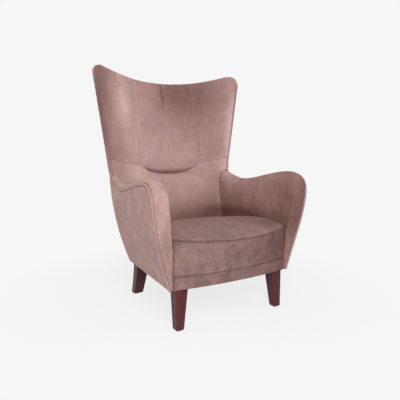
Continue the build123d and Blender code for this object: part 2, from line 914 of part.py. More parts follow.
# Back webbing: upright straps over the three back rails
strap_low_z = low_rail_z + strap_end
strap_bend_z = arm_height - seam_flare_height
strap_levels = (strap_low_z, strap_bend_z, middle_rail_z, board_high - strap_end)


def strap_section(x, z):
    arc = pad_rear(z)
    left, right = x - strap_width / 2, x + strap_width / 2
    with BuildSketch(Plane.XY.offset(z)) as section:
        with BuildLine():
            front_line_points = [(at, arc_y(at, *arc) + clearance) for at in (left, x, right)]
            front = ThreePointArc(*front_line_points)
            rear = ThreePointArc(*[(at, y + strap_thickness) for at, y in front_line_points])
            Line(front @ 0, rear @ 0)
            Line(front @ 1, rear @ 1)
        make_face()
    return section.sketch


back_straps = []
for place in (-1, 0, 1):
    with BuildPart() as back_strap:
        loft([strap_section(place * strap_spacing, z) for z in strap_levels], ruled=True)
    back_straps.append(back_strap)

# Seat springs: sinuous wire from the front rail to the rear rail, held by clips
spring_front_y = (rail_front_y + rail_inner_front_y) / 2
spring_rear_y = (rail_inner_rear_y + rail_rear_y) / 2
wire_z = rail_top + clip_height / 2
spring_bars = round((spring_rear_y - spring_front_y) / spring_pitch)
bar_step = (spring_rear_y - spring_front_y) / spring_bars
spring_spacing = (seat_width - 2 * spring_margin) / (spring_count - 1)
spring_xs = [(index - (spring_count - 1) / 2) * spring_spacing for index in range(spring_count)]

seat_springs = []
for spring_x in spring_xs:
    zigzag = []
    for bar in range(spring_bars + 1):
        first_side = -1 if bar % 2 == 0 else 1
        bar_y = spring_front_y + bar * bar_step
        for side in (first_side, -first_side):
            zigzag.append((spring_x + side * spring_width / 2, bar_y, wire_z))
    with BuildPart() as seat_spring:
        with BuildLine() as wire:
            FilletPolyline(*zigzag, radius=bar_step * spring_bend)
        with BuildSketch(Plane(origin=wire.line @ 0, z_dir=wire.line % 0)):
            Circle(spring_wire / 2)
        sweep()
    seat_springs.append(seat_spring)

with BuildPart() as spring_clips:
    clip_places = []
    for clip_y in (spring_front_y, spring_rear_y):
        clip_places += [(spring_x, clip_y, wire_z) for spring_x in spring_xs]
    with Locations(*clip_places):
        Box(clip_width, clip_length, clip_height)
        Cylinder(spring_wire / 2 + clearance, clip_width, rotation=(0, 90, 0), mode=Mode.SUBTRACT)

with BuildPart() as seat_platform:
    with BuildSketch(Plane.XY.offset(rail_top + clip_height + clearance)):
        with BuildLine():
            front_half = rail_x(rail_front_y) - frame_gap
            rear_half = rail_x(rail_rear_y) - frame_gap
            Polyline(
                (-front_half, rail_front_y),
                (front_half, rail_front_y),
                (rear_half, seat_rear_y),
                (-rear_half, seat_rear_y),
                close=True,
            )
        make_face()
    extrude(amount=platform)

# Legs: straight tapered in front, raked and curved behind
with BuildPart() as front_right_leg:
    for level, width in ((glide_height, front_leg_foot), (leg_height, front_leg_top)):
        with BuildSketch(Plane.XY.offset(level)):
            with Locations((front_leg_x, front_leg_y)):
                Rectangle(width, width, align=(Align.MAX, Align.MIN))
    loft(ruled=True)
    chamfer(front_right_leg.faces().sort_by(Axis.Z)[0].edges(), length=leg_chamfer)
    with Locations((*front_bolt, leg_height)):
        Hole(radius=bolt_radius + clearance, depth=bolt_depth)
front_left_leg = mirrored(front_right_leg)

with BuildPart() as rear_right_leg:
    middle_z = (glide_height + leg_height) / 2
    middle_width = (rear_leg_foot_width + rear_leg_width) / 2
    leg_rows = (
        (glide_height, rear_leg_foot_width, rear_leg_foot, 1.0),
        (middle_z, middle_width, rear_leg_middle, rear_leg_kick),
        (leg_height, rear_leg_width, rear_leg_top, 0.0),
    )
    for level, width, depth, kick in leg_rows:
        with BuildSketch(Plane.XY.offset(level)):
            with Locations((rear_leg_x, rear_leg_rear + rear_leg_rake * kick)):
                Rectangle(width, depth, align=(Align.MAX, Align.MAX))
    loft()
    chamfer(rear_right_leg.faces().sort_by(Axis.Z)[0].edges(), length=leg_chamfer)
    with Locations((*rear_bolt, leg_height)):
        Hole(radius=bolt_radius + clearance, depth=bolt_depth)
rear_left_leg = mirrored(rear_right_leg)

with BuildPart() as leg_bolts:
    bolt_foot = leg_height - bolt_depth + frame_gap
    with Locations(*[(x, y, bolt_foot) for x, y in bolt_places]):
        bolt_length = block_top + bolt_rise - bolt_foot
        Cylinder(bolt_radius, bolt_length, align=(Align.CENTER, Align.CENTER, Align.MIN))

with BuildPart() as leg_nuts:
    with BuildSketch(Plane.XY.offset(block_top)):
        with Locations(*bolt_places):
            RegularPolygon(nut_radius, 6)
            Circle(bolt_radius + clearance, mode=Mode.SUBTRACT)
    extrude(amount=nut_height)

glide_places = []
for foot_x, foot_y in (
    (front_leg_x - front_leg_foot / 2, front_leg_y + front_leg_foot / 2),
    (rear_leg_x - rear_leg_foot_width / 2, rear_leg_rear + rear_leg_rake - rear_leg_foot / 2),
):
    glide_places += [(foot_x, foot_y), (-foot_x, foot_y)]
with BuildPart() as floor_glides:
    with BuildSketch():
        with Locations(*glide_places):
            Circle(glide_radius)
    extrude(amount=glide_height)
    fillet(floor_glides.faces().group_by(Axis.Z)[0].edges(), radius=glide_round)

with BuildPart() as dust_cover:
    with BuildSketch(Plane.XY.offset(leg_height - dust_cover_thickness)):
        with BuildLine():
            Polyline(
                (-front_half, rail_front_y + frame_gap),
                (front_half, rail_front_y + frame_gap),
                (rear_half, rail_rear_y - frame_gap),
                (-rear_half, rail_rear_y - frame_gap),
                close=True,
            )
        make_face()
        for side in (-1, 1):
            with Locations((side * rail_x(rail_front_y), rail_front_y)):
                notch_x = 2 * (rail_x(rail_front_y) - front_leg_x + front_leg_top + frame_gap)
                notch_y = 2 * (front_leg_y + front_leg_top + frame_gap - rail_front_y)
                Rectangle(notch_x, notch_y, mode=Mode.SUBTRACT)
            with Locations((side * rail_x(rail_rear_y), rail_rear_y)):
                notch_x = 2 * (rail_x(rail_rear_y) - rear_leg_x + rear_leg_width + frame_gap)
                notch_y = 2 * (rail_rear_y - rear_leg_rear + rear_leg_top + frame_gap)
                Rectangle(notch_x, notch_y, mode=Mode.SUBTRACT)
    extrude(amount=dust_cover_thickness)

pieces = {
    "upper_back_pad": upper_back_pad,
    "lumbar_pad": lumbar_pad,
    "left_arm_pad": left_arm_pad,
    "right_arm_pad": right_arm_pad,
    "outer_back_panel": outer_back_panel,
    "left_outer_arm_panel": left_outer_arm_panel,
    "right_outer_arm_panel": right_outer_arm_panel,
    "left_long_welt": left_long_welt,
    "right_long_welt": right_long_welt,
    "seat_cushion": seat_cushion,
    "seat_front_panel": seat_front_panel,
    "seat_welt": seat_welt,
    "front_apron": front_apron,
    "seat_platform": seat_platform,
    "dust_cover": dust_cover,
    "front_rail": front_rail,
    "rear_rail": rear_rail,
    "left_side_rail": left_side_rail,
    "right_side_rail": right_side_rail,
    "corner_blocks": corner_blocks,
    "left_arm_post": left_arm_post,
    "right_arm_post": right_arm_post,
    "left_arm_rail": left_arm_rail,
    "right_arm_rail": right_arm_rail,
    "left_back_post": left_back_post,
    "right_back_post": right_back_post,
    "lower_back_rail": lower_back_rail,
    "middle_back_rail": middle_back_rail,
    "top_back_rail": top_back_rail,
    "left_wing_board": left_wing_board,
    "right_wing_board": right_wing_board,
    "spring_clips": spring_clips,
    "front_left_leg": front_left_leg,
    "front_right_leg": front_right_leg,
    "rear_left_leg": rear_left_leg,
    "rear_right_leg": rear_right_leg,
    "leg_bolts": leg_bolts,
    "leg_nuts": leg_nuts,
    "floor_glides": floor_glides,
}
for number, seat_spring in enumerate(seat_springs, start=1):
    pieces[f"seat_spring_{number}"] = seat_spring
for number, back_strap in enumerate(back_straps, start=1):
    pieces[f"back_strap_{number}"] = back_strap
for name, piece in pieces.items():
    save(piece, name)
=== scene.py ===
import json
from math import radians

import bpy
import numpy as np
from mathutils import Matrix, Vector
from mathutils.bvhtree import BVHTree
from mathutils.kdtree import KDTree


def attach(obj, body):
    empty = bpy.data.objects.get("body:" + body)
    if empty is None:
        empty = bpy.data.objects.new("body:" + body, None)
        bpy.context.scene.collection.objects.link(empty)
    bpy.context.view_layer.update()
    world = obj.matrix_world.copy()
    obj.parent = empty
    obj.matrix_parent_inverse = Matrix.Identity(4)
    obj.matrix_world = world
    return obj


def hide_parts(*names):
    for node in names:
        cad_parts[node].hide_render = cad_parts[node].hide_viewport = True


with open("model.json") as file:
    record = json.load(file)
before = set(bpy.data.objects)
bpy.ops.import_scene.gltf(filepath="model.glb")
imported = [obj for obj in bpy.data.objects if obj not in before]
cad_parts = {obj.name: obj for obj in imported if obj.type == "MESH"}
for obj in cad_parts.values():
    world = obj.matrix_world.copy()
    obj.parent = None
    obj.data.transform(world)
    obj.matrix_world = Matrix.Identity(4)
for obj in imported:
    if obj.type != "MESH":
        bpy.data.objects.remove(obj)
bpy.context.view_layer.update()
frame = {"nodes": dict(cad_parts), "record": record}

# Lengths are in metres. The chair faces -Y and stands on z = 0.

# Upright seams of the upper back
PANEL_SEAMS = (-0.168, 0.0, 0.168)
SEAM_PULL = (0.0006, 0.0007, 0.0011)  # how deep each is pulled in
SEAM_GROOVE = 0.0026  # how wide the pull is
SEAM_REFINED = 0.014  # how far to each side the cover is split finer
SEAM_FREE = (0.002, 0.040)  # from where the seam holds the cover to where it is free

# Gathered crease at the top of the middle seam
CREASE_START = (0.91, 0.97)  # heights over which it begins
CREASE_END = (1.03, 1.06)  # and ends
CREASE_DEPTH = 0.0080
CREASE_WIDTH = 0.0045
CREASE_LEAN = 0.010  # how far it leans towards -X
CREASE_LEANING = (0.95, 1.05)  # between these heights

# Seam between the back pads, as a curve over x
LUMBAR_SEAM = 0.598  # height in the middle
LUMBAR_RISE = 1.263  # climb to the sides, by the square of x
LUMBAR_LEVELLING = 5.827  # levelling out further on, by its fourth power

# Tuck along that seam
TUCK_ROLL = 0.020  # height of the lip's roll
TUCK_LIP = 0.013  # how far the lip stands out
TUCK_DROP = 0.008  # and drops
TUCK_UNDER = 0.026  # how far the cushion is drawn in under it
TUCK_FADE = 0.013  # and over what height that fades
TUCK_FULL_LEFT = 0.115  # how far from the middle the tuck is full
TUCK_FULL_RIGHT = 0.085
TUCK_END = 0.165  # and where it ends

# Wings
WING_FILL = 0.014  # how far they are plumped out
WING_START = 0.150  # where that starts, beside the middle
WING_GROWTH = 0.10  # over what height above the lumbar seam it grows
WING_FOOT = 0.66  # height of the foot
WING_EDGE = 0.335  # how far out the edge is there
WING_FLARE = 0.141  # and how it flares above

# Front corners of the seat
SEAT_HALF = 0.283  # half the seat's width
LOW_CORNER = 0.012  # rounding low down
TOP_CORNER = 0.030  # rounding at the top
CORNER_HEIGHTS = (0.285, 0.345)  # between which it grows
CORNER_STRETCH = (-0.29, -0.16)  # behind the front, over which it fades

# Dimple where the seat's cover is caught down
PINCH_PLACE = (0.035, -0.300)
PINCH_DEPTH = 0.005
PINCH_REACH = 0.010

# Front of the arms, which is rounded off more
ARM_FRONT = (-0.24, -0.10)  # stretch over which that fades
ARM_FRONT_ROUNDING = 26  # passes of smoothing

# Swelling of a pad, by a coarse cover that is blown up
COVER_VOXEL = 0.010
COVER_PRESSURE = 4.0
COVER_STEPS = 20  # steps in time
CARRYING_POINTS = 4  # points of the coarse cover that carry a point of the finer one
CARRYING_BLEND = 0.001  # how softly they share it

# Where covers meet
SEWN_GAP = 0.002  # distance to the next cover where one is sewn down
FREE_GAP = 0.022  # and where it is free
SEWN_SOFTNESS = 0.1  # share of its softness that a pad keeps where it is sewn down
SNUG = 0.0016  # how far a cover presses into the next, on the seat and the back
SEWN = 0.0004  # and on the other pieces
SNUG_FADE = (0.003, 0.012)  # distances over which that fades

# Painted light and shade on the velvet
SEAM_SHADE = 0.27  # how much darker the painted shade is along the seams of the arms and outside panels
SEAT_SEAM_SHADE = 0.26  # and along those of the seat's front
SEAM_SHADE_FADE = (0.0010, 0.0055)  # distances over which that fades
SIDE_SHARE = 0.4  # share of a front stroke that shows on faces that look elsewhere

# Topstitching
STITCH_STEP = 0.0055  # from one stitch to the next
STITCH_HALF = (0.0007, 0.0005, 0.0023)  # half the width, height and length of a stitch
STITCH_LIFT = 0.0001  # how far it stands off its cover
UPRIGHT_ROW = 0.0042  # from an upright seam to the rows beside it
UPRIGHT_ROW_FOOT = 0.030  # from the lumbar seam up to their first stitch
UPRIGHT_ROW_TOP = 1.085  # height at which they end
LUMBAR_ROW = 0.006  # from the lumbar seam down to the rows below it
LUMBAR_ROW_ENDS = (0.160, 0.328)  # from the tuck out to the arms
IN_FRONT = -0.6  # a plane before the chair, from which stitches are laid against the back

# Legs
LEG_EDGE = 0.0025  # rounding of their edges

# Lining under the seat
LINING_THICKNESS = 0.0010
LINING_SAG = 0.0055
LINING_RIPPLE = 0.0014
LINING_WAVES = (33.0, 27.0)  # radians per metre, across and along
LINING_EDGE = 0.11  # how far from its edge it sags in full
LINING_ROWS = (44, 32)  # rows it is cut into, across and along

# Studio
PALE = (0.92, 0.92, 0.92, 1)  # floor and backdrop
FLOOR_GLOW = 0.86
FLOOR_SHADE = (0.13, 0.13, 0.13, 1)  # the part of the floor that takes the shadow
FLOOR_BOUNCE = (0.75, 0.75, 0.75, 1)  # the floor as it lights the chair
FLOOR_FADE = (0.45, 1.2)  # distances over which it turns as pale as the backdrop
AMBIENT = 0.27

# Camera
CAMERA_PLACE = (-1.0256, -1.7566, 0.7476)
CAMERA_TURN = 31.13  # degrees round the chair, towards its -X side
CAMERA_TILT = 7.64  # degrees down

slots = {part["node"]: part["material_slot"] for part in frame["record"]["subparts"]}
COVERS = [node for node, slot in slots.items() if slot in ("velvet", "welt")]


def only(*pieces):
    """Leaves just these pieces selected, with the first one active."""
    if bpy.context.mode != "OBJECT":
        bpy.ops.object.mode_set(mode="OBJECT")
    bpy.ops.object.select_all(action="DESELECT")
    for piece in pieces:
        piece.select_set(True)
    bpy.context.view_layer.objects.active = pieces[0]


def finish_with(piece, kind, **settings):
    """Adds a modifier with these settings and applies it."""
    only(piece)
    bpy.ops.object.modifier_add(type=kind)
    modifier = piece.modifiers[-1]
    for name, value in settings.items():
        setattr(modifier, name, value)
    bpy.ops.object.modifier_apply(modifier=modifier.name)


def points_of(piece):
    count = len(piece.data.vertices)
    flat = np.empty(count * 3)
    piece.data.vertices.foreach_get("co", flat)
    return flat.reshape(count, 3)


def normals_of(piece):
    count = len(piece.data.vertices)
    flat = np.empty(count * 3)
    piece.data.vertices.foreach_get("normal", flat)
    return flat.reshape(count, 3)


def place_points(piece, points):
    piece.data.vertices.foreach_set("co", points.ravel())
    piece.data.update()


def ease(value, low, high):
    """0 below low, 1 above high, smooth between."""
    t = np.clip((value - low) / (high - low), 0.0, 1.0)
    return t * t * (3.0 - 2.0 * t)


def copy_of(node, name):
    """A copy of a solid as one joined mesh, ready to be worked."""
    piece = bpy.data.objects.new(name, frame["nodes"][node].data.copy())
    bpy.context.collection.objects.link(piece)
    piece.data.name = name
    piece.data.materials.clear()
    only(piece)
    bpy.ops.object.mode_set(mode="EDIT")
    bpy.ops.mesh.select_all(action="SELECT")
    bpy.ops.mesh.remove_doubles(threshold=0.00001)
    bpy.ops.object.mode_set(mode="OBJECT")
    return piece


def select_faces(piece, chosen):
    """Leaves the piece in edit mode with just the chosen faces selected."""
    only(piece)
    bpy.ops.object.mode_set(mode="EDIT")
    bpy.ops.mesh.select_mode(type="FACE")
    bpy.ops.mesh.select_all(action="DESELECT")
    bpy.ops.object.mode_set(mode="OBJECT")
    piece.data.polygons.foreach_set("select", chosen)
    bpy.ops.object.mode_set(mode="EDIT")


def leave_edit_mode():
    """Goes back to object mode, with points and not faces to be selected next time."""
    bpy.ops.mesh.select_mode(type="VERT")
    bpy.ops.object.mode_set(mode="OBJECT")


def tree_of(meshes):
    """One search tree over the surfaces of several meshes."""
    corners = []
    faces = []
    for mesh in meshes:
        start = len(corners)
        corners.extend(vertex.co.copy() for vertex in mesh.vertices)
        faces.extend([start + index for index in face.vertices] for face in mesh.polygons)
    return BVHTree.FromPolygons(corners, faces)


def distance_to(points, tree):
    return np.array([tree.find_nearest(Vector(point))[3] for point in points])


def pin(piece, name, weights):
    """A vertex group with these weights, in tenths, which is fine enough for a soft edge."""
    group = piece.vertex_groups.new(name=name)
    tenths = np.round(weights * 10).astype(int)
    for tenth in range(1, 11):
        chosen = np.nonzero(tenths == tenth)[0].tolist()
        if chosen:
            group.add(chosen, tenth / 10, "REPLACE")
    return group


def soften(piece, weights, times):
    """Rounds the edges of a pad where the weights let it, and less where it is sewn down."""
    if "gap" in piece.data.attributes:
        weights = weights * ease(gap_of(piece), SEWN_GAP, FREE_GAP)
    group = pin(piece, "soft", weights)
    finish_with(piece, "SMOOTH", factor=0.5, iterations=times, vertex_group=group.name)
    piece.vertex_groups.clear()


def gap_of(piece):
    """How far each point of a pad was from the covers round it."""
    gap = np.empty(len(piece.data.vertices))
    piece.data.attributes["gap"].data.foreach_get("value", gap)
    return gap


def nearest_finder(points):
    finder = KDTree(len(points))
    for index, point in enumerate(points):
        finder.insert(point, index)
    finder.balance()
    return finder


def swell(piece, loose, cap):
    """Blows a pad up between the lines where its cover is sewn down, by at most the cap."""
    fine = points_of(piece)
    finder = nearest_finder(fine)
    cover = bpy.data.objects.new("cover", piece.data.copy())
    bpy.context.collection.objects.link(cover)
    finish_with(cover, "REMESH", mode="VOXEL", voxel_size=COVER_VOXEL)
    rest = points_of(cover)
    held = np.array([1.0 - loose[finder.find(point)[1]] for point in rest])
    sewn = pin(cover, "sewn", held)
    only(cover)
    bpy.ops.object.modifier_add(type="CLOTH")
    cloth = cover.modifiers[-1]
    cloth.settings.use_pressure = True
    cloth.settings.uniform_pressure_force = COVER_PRESSURE
    cloth.settings.effector_weights.gravity = 0.0
    cloth.settings.vertex_group_mass = sewn.name
    cloth.collision_settings.use_collision = False
    for step in range(COVER_STEPS):
        bpy.context.scene.frame_set(step + 1)
    bpy.ops.object.modifier_apply(modifier=cloth.name)
    bpy.context.scene.frame_set(1)
    moved = points_of(cover) - rest
    length = np.linalg.norm(moved, axis=1, keepdims=True)
    moved *= cap * np.tanh(length / cap) / np.maximum(length, 1e-9)
    bpy.data.objects.remove(cover)
    finder = nearest_finder(rest)
    swelled = np.empty_like(fine)
    for index, point in enumerate(fine):
        found = finder.find_n(point, CARRYING_POINTS)
        weights = np.array([1.0 / (distance + CARRYING_BLEND) for _, _, distance in found])
        chosen = [near for _, near, _ in found]
        swelled[index] = (moved[chosen] * weights[:, None]).sum(axis=0) / weights.sum()
    place_points(piece, fine + swelled * loose[:, None])


def pad(node, name, voxel, soft_edge, cap=0.0, loose_part=None, snug=SNUG, loose_from=0.05):
    """A padded cover over one solid, rounded where it stands free and tight where it is sewn down.

    Where a cap is given, the loose part swells by at most that much."""
    piece = copy_of(node, name)
    finish_with(piece, "REMESH", mode="VOXEL", voxel_size=voxel, use_smooth_shade=True)
    others = [frame["nodes"][cover].data for cover in COVERS if cover != node]
    gap = distance_to(points_of(piece), tree_of(others))
    soften(piece, SEWN_SOFTNESS + (1.0 - SEWN_SOFTNESS) * ease(gap, SEWN_GAP, FREE_GAP), soft_edge)
    if cap:
        loose = ease(gap, SEWN_GAP, loose_from) * loose_part(points_of(piece), normals_of(piece))
        swell(piece, loose, cap)
    layer = piece.data.attributes.new("gap", "FLOAT", "POINT")
    layer.data.foreach_set("value", gap)
    press = snug * (1.0 - ease(gap, *SNUG_FADE))
    place_points(piece, points_of(piece) + normals_of(piece) * press[:, None])
    return piece


def refine_where(piece, chosen):
    """Splits the faces whose corners are all chosen, so that a seam can be pressed into them."""
    mesh = piece.data
    corners = np.empty(len(mesh.loops), dtype=np.int32)
    mesh.loops.foreach_get("vertex_index", corners)
    sizes = np.empty(len(mesh.polygons), dtype=np.int32)
    mesh.polygons.foreach_get("loop_total", sizes)
    starts = np.concatenate(([0], np.cumsum(sizes)[:-1]))
    select_faces(piece, np.minimum.reduceat(chosen[corners].astype(np.int8), starts).astype(bool))
    bpy.ops.mesh.subdivide(number_cuts=1)
    leave_edit_mode()


# Materials

def node_tree(name):
    material = bpy.data.materials.new(name)
    material.use_nodes = True
    return material, material.node_tree.nodes, material.node_tree.links


def grey(level):
    return (level, level, level)


def noise(nodes, links, coordinates, scale, detail, roughness, stretch=(1, 1, 1)):
    mapping = nodes.new("ShaderNodeMapping")
    mapping.inputs["Scale"].default_value = stretch
    links.new(coordinates, mapping.inputs["Vector"])
    texture = nodes.new("ShaderNodeTexNoise")
    texture.inputs["Scale"].default_value = scale
    texture.inputs["Detail"].default_value = detail
    texture.inputs["Roughness"].default_value = roughness
    links.new(mapping.outputs["Vector"], texture.inputs["Vector"])
    return texture.outputs["Fac"]


def ramp(nodes, links, factor, stops):
    node = nodes.new("ShaderNodeValToRGB")
    elements = node.color_ramp.elements
    while len(elements) < len(stops):
        elements.new(0.5)
    for element, (place, colour) in zip(elements, stops):
        element.position = place
        element.color = (*colour, 1.0)
    links.new(factor, node.inputs["Fac"])
    return node.outputs["Color"]


def blend(nodes, links, kind, factor, first, second):
    node = nodes.new("ShaderNodeMix")
    node.data_type = "RGBA"
    node.blend_type = kind
    if isinstance(factor, float):
        node.inputs[0].default_value = factor
    else:
        links.new(factor, node.inputs[0])
    links.new(first, node.inputs[6])
    links.new(second, node.inputs[7])
    return node.outputs[2]


def raise_grain(nodes, links, grain, strength, height):
    """Lets a grain stand out of the surface a little."""
    bump = nodes.new("ShaderNodeBump")
    bump.inputs["Strength"].default_value = strength
    bump.inputs["Distance"].default_value = height
    links.new(grain, bump.inputs["Height"])
    links.new(bump.outputs["Normal"], nodes["Principled BSDF"].inputs["Normal"])


def velvet(name, dark, middle, light, mottling, lie=(1.0, 1.0, 0.85)):
    """Brushed velvet: cloudy where the pile lies over, finely streaked along it, with a soft sheen, a
    painted lilac sheen in patches and painted light and shade read from each point.
    """
    material, nodes, links = node_tree(name)
    shader = nodes["Principled BSDF"]
    place = nodes.new("ShaderNodeTexCoord").outputs["Object"]
    clouds = noise(nodes, links, place, scale=7.0, detail=4.0, roughness=0.55)
    cloud_colour = ramp(nodes, links, clouds, ((0.28, dark), (0.50, middle), (0.72, light)))
    mottle = noise(nodes, links, place, scale=27.0, detail=6.0, roughness=0.70, stretch=lie)
    mottle_colour = ramp(nodes, links, mottle, ((0.30, grey(1 - mottling)), (0.70, grey(1 + mottling))))
    colour = blend(nodes, links, "MULTIPLY", 1.0, cloud_colour, mottle_colour)
    grain = noise(nodes, links, place, scale=420.0, detail=2.0, roughness=0.6, stretch=(1.0, 1.0, 0.6))
    grain_colour = ramp(nodes, links, grain, ((0.30, grey(0.90)), (0.70, grey(1.10))))
    colour = blend(nodes, links, "MULTIPLY", 1.0, colour, grain_colour)
    # painted lilac sheen, in patches over the velvet
    lilac_sheen = noise(nodes, links, place, scale=6.0, detail=2.0, roughness=0.5)
    lilac_sheen_amount = ramp(nodes, links, lilac_sheen, ((0.56, grey(0.0)), (0.74, grey(0.45))))
    lilac_sheen_tint = nodes.new("ShaderNodeRGB")
    lilac_sheen_tint.outputs[0].default_value = (0.93, 0.98, 1.20, 1.0)
    tinted = blend(nodes, links, "MULTIPLY", 1.0, colour, lilac_sheen_tint.outputs[0])
    colour = blend(nodes, links, "MIX", lilac_sheen_amount, colour, tinted)
    # painted light and shade laid on each point, with green and blue darkened more so that painted shade
    # stays a deep red
    painted_shading = nodes.new("ShaderNodeAttribute")
    painted_shading.attribute_name = "painted_shading"
    painted_shading_colour = nodes.new("ShaderNodeCombineColor")
    for channel, depth in (("Red", 1.0), ("Green", 1.28), ("Blue", 1.32)):
        power = nodes.new("ShaderNodeMath")
        power.operation = "POWER"
        power.inputs[1].default_value = depth
        links.new(painted_shading.outputs["Fac"], power.inputs[0])
        links.new(power.outputs[0], painted_shading_colour.inputs[channel])
    colour = blend(nodes, links, "MULTIPLY", 1.0, colour, painted_shading_colour.outputs[0])
    links.new(colour, shader.inputs["Base Color"])
    rough = ramp(nodes, links, mottle, ((0.30, grey(0.72)), (0.70, grey(0.92))))
    links.new(rough, shader.inputs["Roughness"])
    shader.inputs["Specular IOR Level"].default_value = 0.06
    shader.inputs["Sheen Weight"].default_value = 0.12
    shader.inputs["Sheen Roughness"].default_value = 0.45
    shader.inputs["Sheen Tint"].default_value = (1.0, 0.72, 0.68, 1.0)
    raise_grain(nodes, links, grain, strength=0.25, height=0.0012)
    return material


def stained_wood(name):
    """Dark red-brown stain over a straight grain that runs up the leg, under a satin lacquer."""
    material, nodes, links = node_tree(name)
    shader = nodes["Principled BSDF"]
    place = nodes.new("ShaderNodeTexCoord").outputs["Object"]
    figure = noise(nodes, links, place, scale=26.0, detail=6.0, roughness=0.62, stretch=(1.0, 1.0, 0.09))
    colour = ramp(nodes, links, figure, (
        (0.25, (0.058, 0.012, 0.015)),
        (0.50, (0.092, 0.020, 0.024)),
        (0.75, (0.126, 0.033, 0.037)),
    ))
    pores = noise(nodes, links, place, scale=260.0, detail=3.0, roughness=0.7, stretch=(1.0, 1.0, 0.05))
    pore_colour = ramp(nodes, links, pores, ((0.36, (0.72, 0.70, 0.70)), (0.52, grey(1.0))))
    links.new(blend(nodes, links, "MULTIPLY", 0.8, colour, pore_colour), shader.inputs["Base Color"])
    rough = ramp(nodes, links, figure, ((0.3, grey(0.36)), (0.7, grey(0.48))))
    links.new(rough, shader.inputs["Roughness"])
    shader.inputs["Specular IOR Level"].default_value = 0.2
    shader.inputs["Coat Weight"].default_value = 0.05
    shader.inputs["Coat Roughness"].default_value = 0.3
    raise_grain(nodes, links, pores, strength=0.2, height=0.0006)
    return material


def plain_finish(name, dark, light, scale, roughness, metallic=0.0, stretch=(1, 1, 1)):
    """A finish for the pieces inside the chair, with a fine grain of its own."""
    material, nodes, links = node_tree(name)
    shader = nodes["Principled BSDF"]
    place = nodes.new("ShaderNodeTexCoord").outputs["Object"]
    grain = noise(nodes, links, place, scale, detail=4.0, roughness=0.6, stretch=stretch)
    links.new(ramp(nodes, links, grain, ((0.3, dark), (0.7, light))), shader.inputs["Base Color"])
    shader.inputs["Roughness"].default_value = roughness
    shader.inputs["Metallic"].default_value = metallic
    raise_grain(nodes, links, grain, strength=0.15, height=0.0008)
    return material


back_velvet = velvet(
    "back_velvet", mottling=0.12,
    dark=(0.395, 0.252, 0.228), middle=(0.430, 0.277, 0.251), light=(0.465, 0.303, 0.276),
)
arm_velvet = velvet(
    "arm_velvet", mottling=0.23, lie=(1.0, 1.0, 0.70),
    dark=(0.400, 0.255, 0.231), middle=(0.440, 0.284, 0.258), light=(0.480, 0.313, 0.286),
)
# a darker copy of the velvet, where the pile lies the other way, painting shade onto the seat, its front
# and the apron
shaded_seat_velvet = velvet(
    "shaded_seat_velvet", mottling=0.30,
    dark=(0.242, 0.148, 0.133), middle=(0.275, 0.170, 0.153), light=(0.308, 0.193, 0.175),
)
welt_velvet = velvet(
    "welt_velvet", mottling=0.05,
    dark=(0.370, 0.235, 0.213), middle=(0.410, 0.264, 0.240), light=(0.450, 0.293, 0.267),
)
# a dark copy of the velvet for the seat's cord, painting the shade along it
shaded_cord_velvet = velvet(
    "shaded_cord_velvet", mottling=0.05,
    dark=(0.150, 0.086, 0.077), middle=(0.180, 0.104, 0.094), light=(0.210, 0.124, 0.112),
)
thread = velvet(
    "thread", mottling=0.02,
    dark=(0.60, 0.410, 0.380), middle=(0.66, 0.455, 0.425), light=(0.72, 0.500, 0.470),
)
leg_wood = stained_wood("leg_wood")

inside_finishes = {
    "frame_wood": plain_finish(
        "frame_wood", dark=(0.45, 0.31, 0.18), light=(0.62, 0.46, 0.30),
        scale=30.0, roughness=0.7, stretch=(1, 1, 0.1),
    ),
    "steel": plain_finish(
        "steel", dark=(0.42, 0.42, 0.43), light=(0.58, 0.58, 0.59),
        scale=90.0, roughness=0.35, metallic=1.0,
    ),
    "clip_plastic": plain_finish(
        "clip_plastic", dark=(0.66, 0.64, 0.58), light=(0.76, 0.74, 0.68),
        scale=200.0, roughness=0.5,
    ),
    "glide_plastic": plain_finish(
        "glide_plastic", dark=(0.035, 0.030, 0.030), light=(0.06, 0.05, 0.05),
        scale=300.0, roughness=0.55,
    ),
    "webbing": plain_finish(
        "webbing", dark=(0.20, 0.17, 0.12), light=(0.34, 0.30, 0.23),
        scale=350.0, roughness=0.85, stretch=(1, 1, 0.3),
    ),
    "lining": plain_finish(
        "lining", dark=grey(0.018), light=grey(0.045),
        scale=500.0, roughness=0.9,
    ),
}


def facing_front(points, normals):
    return ease(-normals[:, 1], 0.2, 0.6)


def facing_up(points, normals):
    return ease(normals[:, 2], 0.1, 0.6)


def paint_shading(piece, strokes, seam_shade=0.0, front_only=False):
    """Paints light and shade onto a piece in broad strokes, each with a middle, a reach and a strength.

    Along the seams it paints shade, darker the closer the next cover is."""
    points = points_of(piece)
    painted_shading = np.ones(len(points))
    # painted shade along the seams, where the next cover is close
    if seam_shade:
        painted_shading -= seam_shade * (1.0 - ease(gap_of(piece), *SEAM_SHADE_FADE))
    share = 1.0
    if front_only:
        share = SIDE_SHARE + (1.0 - SIDE_SHARE) * facing_front(points, normals_of(piece))
    for middle, reach, strength in strokes:
        away = (points - np.array(middle)) / np.array(reach)
        painted_shading *= 1.0 + strength * share * np.exp(-(away**2).sum(axis=1))
    layer = piece.data.attributes.new("painted_shading", "FLOAT", "POINT")
    layer.data.foreach_set("value", painted_shading)


def dress(piece, material, slot, *nodes):
    """Gives a piece its finish, shades it smooth and hangs it under the root body, and hides the solids it
    stands for. Its slot is not used.
    """
    piece.data.materials.clear()
    piece.data.materials.append(material)
    only(piece)
    bpy.ops.object.shade_smooth()
    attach(piece, "root")
    if nodes:
        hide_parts(*nodes)


# Back pads

def lumbar_seam(x):
    """Height of the seam between the back pads."""
    return LUMBAR_SEAM + LUMBAR_RISE * x**2 - LUMBAR_LEVELLING * x**4


